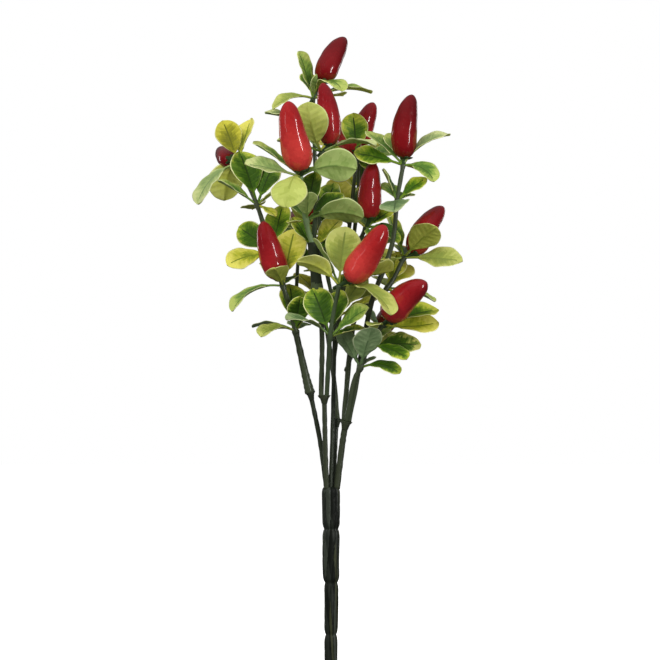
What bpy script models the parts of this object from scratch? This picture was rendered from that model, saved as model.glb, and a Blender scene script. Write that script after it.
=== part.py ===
"""An artificial chilli pepper plant: a stem bundle cut flat at the foot, five thin boughs with
moulded collars, and seven leafy sprigs that carry upright red chillies.

Lengths below are millimetres and become metres where a mesh is made. +Z is up, -Y is the front,
and the origin is the middle of the flat cut. A heading is degrees round +Z from +X, so 270 is
the front. A rise is degrees above the level.
"""

import math
import random

import bmesh
import bpy
from mathutils import Matrix, Vector
from mathutils.bvhtree import BVHTree

MM = 0.001
GAP = 0.3  # air between neighbouring pieces
SAME_PLACE = 0.001  # points nearer than this are one
SEED = 11

# Each finish: its colour and roughness.
STEM_GREEN = ("stem green", (0.02, 0.035, 0.02), 0.45)
TWIG_GREEN = ("twig green", (0.04, 0.10, 0.04), 0.45)
LEAF_GREEN = ("leaf green", (0.11, 0.30, 0.04), 0.45)
LEAF_PALE = ("leaf underside", (0.42, 0.52, 0.20), 0.6)
CHILLI_RED = ("chilli red", (0.45, 0.01, 0.015), 0.2)

# The bundle: four swellings, each given as its lower end, upper end and radius.
SWELLINGS = ((0.0, 32.2, 3.85), (32.2, 62.2, 4.15), (62.2, 93.4, 5.1), (93.4, 117.7, 5.35))
PINCH = 0.72  # radius between two swellings, as a share of their mean
TOP_PINCH = 0.78  # radius of the top's rim, as a share of the top swelling
FOOT_PINCH = 0.9  # radius at the flat cut, as a share of the lowest swelling
SHOULDER = 0.11  # height of a swelling's shoulder, as a share of the swelling
BUNDLE_SIDES = 14
BUNDLE_TOP = SWELLINGS[-1][1]

# The stems.
BOUGH_FOOT = BUNDLE_TOP + GAP
BOUGH_TAPER = 0.94  # a bough's tip, as a share of its foot
SPAN_STEPS = 3  # straight pieces between two way-points of a stem
PEG_RADIUS = 1.25
PEG_SINK = 0.35  # how far a peg's foot starts below its whorl, as a share of the peg
PEG_DEPTH = 0.12  # how far a peg runs up inside its chilli, as a share of the chilli

# A collar: a flared ring at a bough's tip, with two barbs.
COLLAR_HEIGHT = 5.0
COLLAR_SIDES = 8
BARB_REACH = 0.5  # how far a barb's tip stands out from the ring
BARB_SINK = 1.2  # how deep its foot starts in the ring, inwards and down
BARB_FOOT = 0.95
BARB_TIP = 0.25
BARB_SIDES = 5

# A leaf: a narrow stalk, then a blade that is widest two thirds of the way out.
LEAF_ROWS = (0.0, 0.25, 0.46, 0.69, 0.90, 0.985)  # shares of its length
STALK_SHARE = 0.24
STALK_HALF_WIDTH = 0.65
LEAF_WIDTH = 0.60  # of its length
LEAF_THICK = 0.75
ROOT_REACH = 0.28  # share of a leaf, from its root, that may cross its own sprig's stems
TIP_POWER = 1.3
SIDE_POWER = 0.62

# How far each leaf strays from its stance, in degrees, and how far its edges may rise.
STRAY_HEADING = 4
STRAY_RISE = 3
STRAY_ROLL = 12
CUP = (0.05, 0.3)  # of its half width
ROOT_STRAY = 0.15  # how far its root strays from the whorl's middle, each way

# A chilli's outline: how full it is, its taper, and how late and how bluntly each end closes.
CHILLI_FULL = 1.06
CHILLI_TAPER, TAPER_POWER = 0.46, 1.5
BASE_HOLD, BASE_ROUND = 7, 0.52
TIP_HOLD, TIP_ROUND = 9, 0.55

# A chilli's sides and rings, and the sides of a limb's skin that leaves keep off.
CHILLI_SIDES = 10
CHILLI_RINGS = 8
SKIN_SIDES = 8

# How a leaf stands: the rise of its stalk, and how many degrees it bends down by its tip.
UP = (74, 8)
STEEP = (60, 12)
LEAN = (42, 14)
OUT = (22, 14)
FLAT = (4, 12)
DIP = (0, 34)
LOW = (-18, 28)
HANG = (-16, 60)
BOW = (32, 54)
CREST = (58, 56)
HOOK = (84, 150)
FOLD = (8, 96)
SAG = (26, 68)
ARCH = (38, 85)
DROOP = (13, 74)
CURL = (30, -45)
SCOOP = (-9, -22)

# Each bough: its radius, its collar's radius or none, then way-points from the foot up.
BOUGHS = {
    "bough_left": (1.35, 2.5, ((-2.9, 2.2, BOUGH_FOOT), (-6.4, 1, 145), (-12.2, -3, 173))),
    "bough_front": (1.5, 3.1, ((-2.6, -2.4, BOUGH_FOOT), (-3.4, -4, 145), (-4.0, -6, 171))),
    "bough_centre": (1.3, None, ((-0.2, 0.4, BOUGH_FOOT), (0.7, 1, 145), (2.0, 4, 203))),
    "bough_right": (1.75, 3.1, ((3.6, -0.8, BOUGH_FOOT), (6.5, -2, 143), (8.7, -3.5, 156))),
    "bough_rear": (1.3, 2.6, ((1.2, 3.4, BOUGH_FOOT), (2.4, 5.4, 140), (3.4, 8.5, 157))),
}

# Each sprig's stems, as foot and tip radius and way-points. The first starts above its bough.
STEMS = {
    "sprig_left": (
        (2.7, 1.5, ((-12.6, -3.1, 173.6), (-15, -4.5, 184), (-20.5, -9, 208))),
        (1.5, 1.2, ((-20.5, -9, 208), (-24.2, -13, 223), (-27.6, -17, 234), (-34.2, -3, 253),
                    (-42.8, -6, 281), (-54.2, 8, 306))),
        (1.2, 1.0, ((-20.5, -9, 208), (-20, 8, 236), (-18.2, 22, 267))),
    ),
    "sprig_front_left": (
        (1.5, 1.4, ((-5.7, -6.2, 171.6), (-5.2, -12, 206), (-8, -18, 234))),
        (3.1, 3.4, ((-8, -18, 233), (-10.3, -20, 259))),
        (1.6, 1.2, ((-10.3, -20, 257), (-14.3, -25, 271), (-17.6, -36, 296))),
        (1.6, 1.2, ((-10.3, -18, 257), (-8.9, -13, 275), (-8.6, -12, 290), (-5.2, -14, 311))),
    ),
    "sprig_front": (
        (1.4, 1.2, ((-2.4, -6.6, 171.6), (-1.5, -16, 189), (-0.6, -26, 205), (1.7, -29, 220),
                    (4.6, -32, 234))),
    ),
    "sprig_centre": (
        (1.25, 1.2, ((2.0, 4, 203.4), (3.5, 6, 216), (11, 2, 248), (20.3, -2, 268))),
        (1.2, 1.1, ((3.5, 6, 216), (-2, 9, 240), (-6, 8, 264), (-9, 6, 300), (-9.9, 5, 328),
                    (-10.5, 2, 343))),
        (1.1, 1.1, ((8, 4, 236), (10, 14, 262), (13, 20, 290), (15.2, 20, 309))),
    ),
    "sprig_right": (
        (1.65, 1.2, ((10.4, -4.6, 157.2), (15.6, -9.5, 184), (19.6, -8, 207), (24.3, -6, 228),
                     (32.4, -6, 249), (36.4, -7, 264), (38.1, -8, 283), (41.7, -4, 304))),
        (1.65, 1.3, ((9.2, -5.2, 157.2), (13, -10.5, 178), (16.8, -13, 187), (21.9, -16, 200),
                     (29.8, -20, 212))),
    ),
    "sprig_right_rear": (
        (1.6, 1.3, ((7.6, -0.8, 157.2), (11, 2, 197), (15.7, 8, 219), (32.7, 10, 233),
                    (42.6, 12, 251))),
        (1.2, 1.1, ((9, 0.5, 186), (14, 14, 196), (31, 27, 208))),
    ),
    "sprig_rear": (
        (1.4, 1.1, ((3.6, 9.4, 157.4), (1, 18, 186), (-5.3, 32, 226), (-11.3, 48, 262))),
        (1.2, 1.1, ((1, 18, 186), (6, 34, 222), (12.5, 42, 256), (16, 45, 290),
                    (16.5, 44, 313))),
    ),
}

# Each chilli: its sprig, the whorl it stands on, its base, its tip, its radius and its bow.
CHILLIES = (
    ("sprig_left", (-27.6, -17, 234), (-29.2, -19, 238), (-39, -24, 271), 8.0, 1.0),
    ("sprig_left", (-54.2, 8, 306), (-58.5, 13, 308), (-65, 46, 316), 6.3, 1.0),
    ("sprig_left", (-18.2, 22, 267), (-18.4, 24.5, 269), (-20, 48, 279), 6.0, 1.0),
    ("sprig_front_left", (-17.6, -36, 296), (-16.2, -38, 299), (-24.3, -48, 338), 9.1, 1.0),
    ("sprig_front_left", (-5.2, -14, 311), (-1, -13, 315), (-5.0, -15, 351), 7.2, -1.5),
    ("sprig_front", (4.6, -32, 234), (9.8, -35, 236.5), (30.5, -46, 268), 9.0, -1.0),
    ("sprig_centre", (20.3, -2, 268), (22.4, -3, 273), (24.5, -4, 306), 7.5, 1.2),
    ("sprig_centre", (15.2, 20, 309), (15.2, 22, 313), (3, 40, 332), 6.6, 1.0),
    ("sprig_centre", (-10.5, 2, 343), (-4.9, 4, 353), (8.4, 12, 379.5), 7.4, 1.5),
    ("sprig_right", (41.7, -4, 304), (42.8, -3, 308), (47.2, -4, 345), 8.1, 2.2),
    ("sprig_right", (29.8, -20, 212), (32.7, -22, 214.5), (54.6, -36, 235.5), 9.2, 2.6),
    ("sprig_right_rear", (42.6, 12, 251), (48, 12, 253), (66.2, 22, 281), 7.8, 2.4),
    ("sprig_rear", (-11.3, 48, 262), (-12, 50.5, 266), (-16.5, 68, 299), 7.6, 1.0),
    ("sprig_rear", (16.5, 44, 313), (15.5, 46, 317), (25.5, 45, 344), 7.0, 1.0),
    ("sprig_right_rear", (31, 27, 208), (31.5, 30, 210), (38, 60, 222), 6.6, 1.0),
)

# Each whorl: its sprig, its place, and its leaves as heading, stance, length and roll.
WHORLS = (
    ("sprig_left", (-20.5, -9, 208),
     ((285, UP, 23, 165), (168, BOW, 27, 0), (208, SAG, 26, -15), (115, UP, 29, 0),
      (80, OUT, 24, 0), (25, STEEP, 20, 0))),
    ("sprig_left", (-27.6, -17, 234),
     ((193, DROOP, 36, -15), (246, LEAN, 23, 15), (55, UP, 35, 10), (120, LEAN, 26, 0),
      (80, OUT, 24, 0))),
    ("sprig_left", (-34.2, -3, 253),
     ((160, LEAN, 26, -60), (196, DIP, 28, -50), (60, UP, 31, 10), (100, OUT, 26, 0))),
    ("sprig_left", (-42.8, -6, 281),
     ((146, UP, 34, -20), (42, UP, 28, 30), (10, STEEP, 13, 0), (183, LEAN, 27, 0),
      (98, FLAT, 26, 0), (340, LOW, 14, 30))),
    ("sprig_left", (-54.2, 8, 306),
     ((166, UP, 27, -60), (60, UP, 30, -10), (193, HANG, 36, -12), (112, FOLD, 36, 0),
      (75, OUT, 24, 0))),
    ("sprig_left", (-18.2, 22, 267),
     ((290, UP, 24, 0), (80, OUT, 29, 0), (135, FLAT, 28, 0), (30, LEAN, 27, 0),
      (190, FLAT, 22, -30))),
    ("sprig_front_left", (-10.3, -20, 254),
     ((35, STEEP, 26, 20), (352, LEAN, 22, 30), (150, STEEP, 24, -20))),
    ("sprig_front_left", (-14.3, -25, 271),
     ((275, UP, 21, 20), (22, LEAN, 28, 30), (350, BOW, 35, -40), (200, FLAT, 12, 0),
      (120, LEAN, 26, 0), (62, UP, 30, 0))),
    ("sprig_front_left", (-17.6, -36, 296),
     ((256, FOLD, 35, 170), (172, LEAN, 34, -10), (190, OUT, 33, -30), (350, BOW, 34, -65),
      (85, OUT, 27, 0))),
    ("sprig_front_left", (-5.2, -14, 311),
     ((247, CURL, 35, 0), (352, BOW, 33, 10), (182, OUT, 27, -20), (105, LEAN, 30, 0))),
    ("sprig_front", (-0.6, -26, 205),
     ((146, UP, 30, -50), (60, UP, 29, 0), (350, LEAN, 28, 30), (206, CREST, 31, 0),
      (25, OUT, 22, 0))),
    ("sprig_front", (4.6, -32, 234),
     ((202, CREST, 30, 22), (183, STEEP, 31, 0), (62, UP, 35, 25), (22, OUT, 38, -30),
      (335, DROOP, 40, 10))),
    ("sprig_centre", (3.5, 6, 216),
     ((22, STEEP, 31, 30), (150, LEAN, 26, -20), (90, OUT, 28, 0), (345, OUT, 26, 30))),
    ("sprig_centre", (-6, 8, 264),
     ((60, UP, 33, 0), (120, STEEP, 30, 0), (345, STEEP, 27, 50), (200, OUT, 24, -30))),
    ("sprig_centre", (20.3, -2, 268),
     ((350, DROOP, 23, 40), (20, LEAN, 20, 30), (195, LEAN, 22, -30), (285, LOW, 13, 0),
      (100, OUT, 25, 0))),
    ("sprig_centre", (15.2, 20, 309),
     ((115, UP, 28, -20), (12, OUT, 28, 20), (60, OUT, 26, 0), (190, OUT, 22, -30))),
    ("sprig_centre", (10.8, 16.5, 270),
     ((160, UP, 31, -20), (50, UP, 29, 0), (100, OUT, 27, 0), (205, LEAN, 24, -40))),
    ("sprig_centre", (-9.9, 5, 328),
     ((186, OUT, 30, 0), (62, LEAN, 26, 0), (100, OUT, 27, 0))),
    ("sprig_centre", (-10.5, 2, 343),
     ((199, UP, 29, -56), (290, UP, 15, 50), (324, HOOK, 29, 0), (0, BOW, 37, 10),
      (182, DROOP, 26, -25), (95, LEAN, 26, 0), (45, OUT, 26, 0))),
    ("sprig_right", (16.8, -13, 187),
     ((285, STEEP, 29, 0), (350, SAG, 25, 20), (195, UP, 25, 40), (90, OUT, 22, 0))),
    ("sprig_right", (21.9, -16, 200),
     ((12, FLAT, 31, 45), (345, DIP, 26, 25), (205, LEAN, 21, 0), (80, LEAN, 24, 0))),
    ("sprig_right", (29.8, -20, 212),
     ((24, OUT, 36, 20), (20, SCOOP, 34, 24), (60, OUT, 28, 0), (130, LEAN, 26, 0),
      (240, FLAT, 16, 0))),
    ("sprig_right", (32.4, -6, 249),
     ((100, OUT, 26, 0), (168, OUT, 24, -30), (250, FLAT, 18, 0))),
    ("sprig_right", (38.1, -8, 283),
     ((20, LEAN, 23, 30), (160, STEEP, 21, 0), (118, LEAN, 20, 0), (268, DIP, 30, 12),
      (72, OUT, 24, 0))),
    ("sprig_right", (41.7, -4, 304),
     ((190, OUT, 30, -38), (160, LEAN, 31, 0), (115, STEEP, 28, 0), (8, CREST, 35, 10),
      (330, DROOP, 24, 35), (60, FLAT, 24, 0))),
    ("sprig_right_rear", (32.7, 10, 233),
     ((62, STEEP, 27, 30), (50, LEAN, 26, 30), (352, DIP, 30, 10), (100, OUT, 26, 0),
      (315, LOW, 20, 20))),
    ("sprig_right_rear", (42.6, 12, 251),
     ((160, UP, 28, -12), (318, LEAN, 31, -50), (350, FLAT, 35, 46), (215, FLAT, 20, 20),
      (85, OUT, 29, 0))),
    ("sprig_right_rear", (31, 27, 208),
     ((15, OUT, 29, 30), (75, DROOP, 29, 0), (140, LEAN, 27, 0), (330, LEAN, 24, 30))),
    ("sprig_rear", (-5.3, 32, 226),
     ((60, OUT, 28, 0), (130, LEAN, 28, 0), (200, OUT, 27, -30), (280, FLAT, 22, 0))),
    ("sprig_rear", (6.3, 34.6, 224),
     ((350, OUT, 27, 0), (65, LEAN, 28, 0), (130, OUT, 25, 0), (230, FLAT, 20, 0))),
    ("sprig_rear", (-8.5, 40, 244),
     ((75, UP, 28, 0), (150, STEEP, 27, 0), (345, STEEP, 26, 30), (265, FLAT, 20, 0))),
    ("sprig_rear", (16, 45, 289),
     ((60, UP, 27, 0), (125, STEEP, 27, 0), (205, LEAN, 24, -20))),
    ("sprig_rear", (12.5, 42, 256),
     ((20, OUT, 30, 30), (85, ARCH, 31, 0), (150, LEAN, 28, 0), (330, LEAN, 24, 30))),
    ("sprig_rear", (16.5, 44, 313),
     ((30, OUT, 28, 20), (100, OUT, 29, 0), (175, OUT, 27, -20), (290, LOW, 20, 0))),
    ("sprig_rear", (-11.3, 48, 262),
     ((45, OUT, 28, 0), (110, FLAT, 30, 0), (180, OUT, 29, -30), (235, LEAN, 25, 0),
      (320, FLAT, 20, 20))),
)

# Turns and tilts that a leaf tries, in order, until it stands clear of its neighbours.
NUDGES = ((0, 0), (9, 0), (-9, 0), (0, -9), (0, 9), (12, -10), (-12, -10), (18, 0), (-18, 0),
          (0, -20), (14, 12), (-14, 12), (27, -6), (-27, -6), (0, -32), (38, 0), (-38, 0))


def material(name, colour, roughness):
    """A plain Principled finish."""
    made = bpy.data.materials.new(name)
    made.use_nodes = True
    shader = made.node_tree.nodes["Principled BSDF"]
    shader.inputs["Base Color"].default_value = (*colour, 1)
    shader.inputs["Roughness"].default_value = roughness
    shader.inputs["Metallic"].default_value = 0
    made.diffuse_color = (*colour, 1)
    return made


def new_object(name, mesh, finishes, collection):
    """An object in a collection, with its finishes in the order of its face numbers."""
    for finish in finishes:
        mesh.materials.append(finish)
    made = bpy.data.objects.new(name, mesh)
    collection.objects.link(made)
    return made


def from_bmesh(name, shape, finishes, collection):
    """An object from a bmesh in millimetres, with its faces turned outwards."""
    bmesh.ops.recalc_face_normals(shape, faces=shape.faces[:])
    if shape.calc_volume(signed=True) < 0:
        bmesh.ops.reverse_faces(shape, faces=shape.faces[:])
    bmesh.ops.scale(shape, vec=(MM, MM, MM), verts=shape.verts[:])
    mesh = bpy.data.meshes.new(name)
    shape.to_mesh(mesh)
    shape.free()
    return new_object(name, mesh, finishes, collection)


def smooth_path(points):
    """Points along a Catmull-Rom curve through the way-points."""
    given = [Vector(p) for p in points]
    ends = [2 * given[0] - given[1], *given, 2 * given[-1] - given[-2]]
    path = []
    for before, start, end, after in zip(ends, ends[1:], ends[2:], ends[3:]):
        for step in range(SPAN_STEPS):
            t = step / SPAN_STEPS
            path.append(
                0.5 * (2 * start + (end - before) * t
                       + (2 * before - 5 * start + 4 * end - after) * t ** 2
                       + (3 * start - before - 3 * end + after) * t ** 3)
            )
    return path + [given[-1]]


def tube(name, points, foot, tip, finishes, collection):
    """A round limb along the way-points that tapers from its foot's radius to its tip's."""
    path = smooth_path(points)
    curve = bpy.data.curves.new(name, "CURVE")
    curve.dimensions = "3D"
    curve.bevel_depth = MM
    curve.bevel_resolution = 1
    curve.use_fill_caps = True
    spline = curve.splines.new("POLY")
    spline.points.add(len(path) - 1)
    for at, (spot, place) in enumerate(zip(spline.points, path)):
        spot.co = (*(place * MM), 1)
        spot.radius = foot + (tip - foot) * at / (len(path) - 1)
    guide = bpy.data.objects.new(name, curve)
    collection.objects.link(guide)
    bpy.context.view_layer.update()
    graph = bpy.context.evaluated_depsgraph_get()
    mesh = bpy.data.meshes.new_from_object(guide.evaluated_get(graph))
    bpy.data.objects.remove(guide)
    bpy.data.curves.remove(curve)
    shape = bmesh.new()
    shape.from_mesh(mesh)
    bmesh.ops.remove_doubles(shape, verts=shape.verts[:], dist=SAME_PLACE * MM)
    bmesh.ops.recalc_face_normals(shape, faces=shape.faces[:])
    shape.to_mesh(mesh)
    shape.free()
    return new_object(name, mesh, finishes, collection)


def cone(name, foot, tip, foot_radius, tip_radius, sides, finishes, collection):
    """A cone or a frustum from one point to another."""
    axis = Vector(tip) - Vector(foot)
    shape = bmesh.new()
    bmesh.ops.create_cone(shape, cap_ends=True, segments=sides, radius1=foot_radius,
                          radius2=tip_radius, depth=axis.length)
    turn = axis.to_track_quat("Z", "Y").to_matrix().to_4x4()
    place = Matrix.Translation((Vector(foot) + Vector(tip)) / 2)
    bmesh.ops.transform(shape, matrix=place @ turn, verts=shape.verts[:])
    return from_bmesh(name, shape, finishes, collection)


def bundle(finishes, collection):
    """The gathered stems at the foot: a turned row of swellings with pinches between them."""
    profile = [(0.0, BUNDLE_TOP)]
    pinches = [TOP_PINCH * SWELLINGS[-1][2]]
    for lower, upper in zip(SWELLINGS[-2::-1], SWELLINGS[::-1]):
        pinches.append(PINCH * (lower[2] + upper[2]) / 2)
    pinches.append(FOOT_PINCH * SWELLINGS[0][2])
    for number, (low, high, radius) in enumerate(SWELLINGS[::-1]):
        above, below = pinches[number], pinches[number + 1]
        shoulder = SHOULDER * (high - low)
        profile.append((above, high))
        profile.append((0.35 * above + 0.65 * radius, high - 0.35 * shoulder))
        profile.append((radius, high - 1.4 * shoulder))
        profile.append((0.98 * radius, (high + low) / 2))
        profile.append((0.3 * below + 0.7 * radius, low + 0.8 * shoulder))
    profile.append((pinches[-1], 0.0))
    profile.append((0.0, 0.0))
    shape = bmesh.new()
    spots = [shape.verts.new((r * MM, 0, z * MM)) for r, z in profile]
    for start, end in zip(spots, spots[1:]):
        shape.edges.new((start, end))
    mesh = bpy.data.meshes.new("main_stem")
    shape.to_mesh(mesh)
    shape.free()
    made = new_object("main_stem", mesh, finishes, collection)
    screw = made.modifiers.new("turn", "SCREW")
    screw.steps = BUNDLE_SIDES
    screw.render_steps = BUNDLE_SIDES
    screw.use_merge_vertices = True
    screw.merge_threshold = 0.0001
    return made


def fuse(name, pieces, collection):
    """One body from overlapping pieces: a union, applied, that keeps only the main body."""
    first, rest = pieces[0], pieces[1:]
    others = bpy.data.collections.new(name + "_pieces")
    bpy.context.scene.collection.children.link(others)
    for piece in rest:
        for owner in piece.users_collection:
            owner.objects.unlink(piece)
        others.objects.link(piece)
    joint = first.modifiers.new("join", "BOOLEAN")
    joint.operation = "UNION"
    joint.operand_type = "COLLECTION"
    joint.collection = others
    joint.solver = "EXACT"
    joint.material_mode = "TRANSFER"
    bpy.context.view_layer.update()
    graph = bpy.context.evaluated_depsgraph_get()
    mesh = bpy.data.meshes.new_from_object(first.evaluated_get(graph))
    for piece in pieces:
        bpy.data.objects.remove(piece)
    bpy.data.collections.remove(others)
    keep_main_body(mesh)
    mesh.name = name
    new_object(name, mesh, (), collection)


def keep_main_body(mesh):
    """Drops loose scraps and sealed hollows, which are every island but the largest."""
    shape = bmesh.new()
    shape.from_mesh(mesh)
    bmesh.ops.triangulate(shape, faces=shape.faces[:])
    waiting = set(shape.verts)
    islands = []
    while waiting:
        island, front = set(), [waiting.pop()]
        while front:
            spot = front.pop()
            island.add(spot)
            near = {edge.other_vert(spot) for edge in spot.link_edges} & waiting
            waiting -= near
            front += near
        islands.append(island)
    largest = max(islands, key=len)
    loose = [spot for island in islands if island is not largest for spot in island]
    bmesh.ops.delete(shape, geom=loose, context="VERTS")
    shape.to_mesh(mesh)
    shape.free()


def half_width(t, length):
    """A leaf's half width at a share t of its length: a stalk, then a spoon-shaped blade."""
    out = max(0.0, (t - STALK_SHARE) / (1 - STALK_SHARE))
    swell = max(0.0, math.sin(math.pi * out ** TIP_POWER)) ** SIDE_POWER
    return STALK_HALF_WIDTH + (LEAF_WIDTH * length / 2 - STALK_HALF_WIDTH) * swell


def leaf_point(leaf, t, side, lift):
    """A point of a leaf, t along it and side across it, on an arc that bends down as it goes."""
    root, heading, rise, bend, length, roll, cup = leaf
    start = math.radians(rise)
    turned = math.radians(bend)
    now = start - turned * t
    along = length * (math.sin(start) - math.sin(now)) / turned
    up = length * (math.cos(now) - math.cos(start)) / turned
    ahead = Vector((math.cos(math.radians(heading)), math.sin(math.radians(heading)), 0))
    across = Vector((-ahead.y, ahead.x, 0))
    face = Vector((0, 0, 1)) * math.cos(now) - ahead * math.sin(now)
    tilt = math.radians(roll)
    across, face = (across * math.cos(tilt) + face * math.sin(tilt),
                    face * math.cos(tilt) - across * math.sin(tilt))
    wide = half_width(t, length)
    centre = Vector(root) + ahead * along + Vector((0, 0, 1)) * up
    return centre + across * wide * side + face * (cup * wide * side * side + lift)


def leaf_shape(leaf):
    """A closed blade: two sheets, each from a grid, that share their rim."""
    shape = bmesh.new()
    rows = len(LEAF_ROWS) - 1
    for sheet in (1, -1):
        grid = bmesh.ops.create_grid(shape, x_segments=rows, y_segments=2, size=1)
        for face in {face for spot in grid["verts"] for face in spot.link_faces}:
            face.material_index = int(sheet < 0)
        for spot in grid["verts"]:
            row = round((spot.co.x + 1) / 2 * rows)
            side = round(spot.co.y)
            inner = side == 0 and 0 < row < rows
            lift = sheet * LEAF_THICK / 2 if inner else 0
            spot.co = leaf_point(leaf, LEAF_ROWS[row], side, lift)
    bmesh.ops.remove_doubles(shape, verts=shape.verts[:], dist=SAME_PLACE)
    return shape


def chilli_radius(t, radius):
    """A chilli's radius at a share t from base to tip: full near the base, blunt at the tip."""
    base = (1 - (1 - t) ** BASE_HOLD) ** BASE_ROUND
    taper = 1 - CHILLI_TAPER * t ** TAPER_POWER
    tip = max(0.0, 1 - t ** TIP_HOLD) ** TIP_ROUND
    return CHILLI_FULL * radius * base * taper * tip


def chilli_spot(chilli, t):
    """The point of a chilli's bowed axis at a share t from its base."""
    base, tip, _, bow = chilli
    start, axis = Vector(base), Vector(tip) - Vector(base)
    sideways = axis.normalized().cross(Vector((0, 1, 0))).normalized()
    return start + axis * t + sideways * bow * math.sin(math.pi * t)


def chilli_shape(chilli):
    """A round fruit: a sphere's rings spaced along a slightly bowed axis."""
    base, tip, radius, _ = chilli
    turn = (Vector(tip) - Vector(base)).to_track_quat("Z", "Y")
    shape = bmesh.new()
    bmesh.ops.create_uvsphere(shape, u_segments=CHILLI_SIDES, v_segments=CHILLI_RINGS, radius=1)
    for spot in shape.verts:
        t = (1 + max(-1.0, min(1.0, spot.co.z))) / 2
        ring = Vector((spot.co.x, spot.co.y, 0))
        if ring.length > SAME_PLACE:
            ring = ring.normalized() * chilli_radius(t, radius)
        spot.co = chilli_spot(chilli, t) + turn @ ring
    return shape


def ring_tree(spots, radii):
    """A search tree of a limb's skin: rings round its spots, joined by four-sided faces."""
    points, faces = [], []
    for number, (spot, radius) in enumerate(zip(spots, radii)):
        before, after = spots[max(number - 1, 0)], spots[min(number + 1, len(spots) - 1)]
        turn = (after - before).to_track_quat("Z", "Y")
        for side in range(SKIN_SIDES):
            angle = 2 * math.pi * side / SKIN_SIDES
            points.append(spot + turn @ Vector((math.cos(angle), math.sin(angle), 0)) * radius)
            if number:
                here, last = len(points) - 1, len(points) - 1 - SKIN_SIDES
                back = SKIN_SIDES - 1 if side == 0 else -1
                faces.append((last, here, here + back, last + back))
    return BVHTree.FromPolygons(points, faces)


def leaf_trees(leaf, place, reach):
    """Search trees of a leaf's two sheets, half a gap proud: whole, and beyond the reach."""
    points, faces = [], []
    for lift in (LEAF_THICK / 2 + GAP, -LEAF_THICK / 2 - GAP):
        for row, t in enumerate(LEAF_ROWS):
            for side in (-1, 0, 1):
                points.append(leaf_point(leaf, t, side, lift))
                if row and side < 1:
                    here = len(points) - 1
                    faces.append((here, here + 1, here - 2, here - 3))
    outer = [face for face in faces
             if all((points[spot] - Vector(place)).length > reach for spot in face)]
    return BVHTree.FromPolygons(points, faces), BVHTree.FromPolygons(points, outer)


def skins_of_limbs():
    """The skins of every bough, collar, stem, peg and chilli, each with its owner's name."""
    skins = []
    for name, (radius, flare, points) in BOUGHS.items():
        spots = smooth_path(points)
        skins.append((name, ring_tree(spots, [radius] * len(spots))))
        if flare:
            axis = (spots[-1] - spots[-2]).normalized() * COLLAR_HEIGHT
            skins.append((name, ring_tree([spots[-1] - axis, spots[-1]], [radius, flare])))
    for name, stems in STEMS.items():
        for foot, tip, points in stems:
            spots = smooth_path(points)
            skins.append((name, ring_tree(spots, [max(foot, tip)] * len(spots))))
    for name, root, *chilli in CHILLIES:
        steps = [number / CHILLI_RINGS for number in range(CHILLI_RINGS + 1)]
        spots = [chilli_spot(chilli, t) for t in steps]
        skins.append((name, ring_tree(spots, [chilli_radius(t, chilli[2]) for t in steps])))
        skins.append((name, ring_tree([Vector(root), spots[0]], [PEG_RADIUS] * 2)))
    return skins


def grow_leaves():
    """Every leaf that finds a clear stance, as its sprig and its stance, in a fixed order.

    A leaf is clear where its faces cross nothing but, near its root, its own sprig.
    """
    skins = skins_of_limbs()
    grown = []
    for number, (sprig, place, leaves) in enumerate(WHORLS):
        for turn, (heading, (rise, bend), length, roll) in enumerate(leaves):
            draw = random.Random(SEED + 100 * number + turn)
            heading += draw.uniform(-STRAY_HEADING, STRAY_HEADING)
            rise += draw.uniform(-STRAY_RISE, STRAY_RISE)
            roll += draw.uniform(-STRAY_ROLL, STRAY_ROLL)
            cup = draw.uniform(*CUP)
            stray = [draw.uniform(-ROOT_STRAY, ROOT_STRAY) for _ in range(3)]
            root = Vector(place) + Vector(stray)
            for more_turn, more_rise in NUDGES:
                leaf = (root, heading + more_turn, rise + more_rise, bend, length, roll, cup)
                whole, outer = leaf_trees(leaf, place, ROOT_REACH * length)
                if not any((outer if owner == sprig else whole).overlap(skin)
                           for owner, skin in skins):
                    skins.append((sprig, whole))
                    grown.append((sprig, leaf))
                    break
    return grown


def collar(name, points, radius, flare, finishes, collection):
    """A moulded joint at a bough's tip: a flared ring with two barbs."""
    top = Vector(points[-1])
    axis = (top - Vector(points[-2])).normalized()
    side = axis.cross(Vector((0, 1, 0))).normalized()
    foot = top - axis * COLLAR_HEIGHT
    pieces = [cone(name + "_ring", foot, top, radius, flare, COLLAR_SIDES, finishes, collection)]
    for way in (1, -1):
        start = top - axis * BARB_SINK + side * way * (flare - BARB_SINK)
        end = top + side * way * (flare + BARB_REACH)
        pieces.append(cone(name + "_barb", start, end, BARB_FOOT, BARB_TIP, BARB_SIDES,
                           finishes, collection))
    return pieces


def grow_boughs(finishes, collection):
    """The boughs, each with its collar fused on."""
    for name, (radius, flare, points) in BOUGHS.items():
        pieces = [tube(name, points, radius, BOUGH_TAPER * radius, finishes, collection)]
        if flare:
            pieces += collar(name, points, radius, flare, finishes, collection)
            fuse(name, pieces, collection)


def grow_stems(twig_finish, chilli_finish, collection):
    """Each sprig's pieces, before its leaves: its stems, and its chillies on their pegs."""
    masses = {}
    for name, stems in STEMS.items():
        masses[name] = [
            tube(f"{name}_stem", points, foot, tip, (twig_finish,), collection)
            for foot, tip, points in stems
        ]
    for name, root, *chilli in CHILLIES:
        base, tip = chilli[:2]
        sunk = Vector(root) + (Vector(root) - Vector(base)) * PEG_SINK
        inside = Vector(base) + (Vector(tip) - Vector(base)) * PEG_DEPTH
        masses[name] += [
            tube(f"{name}_peg", (sunk, base, inside), PEG_RADIUS, PEG_RADIUS, (twig_finish,),
                 collection),
            from_bmesh(f"{name}_chilli", chilli_shape(chilli), (chilli_finish,), collection),
        ]
    return masses


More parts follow.
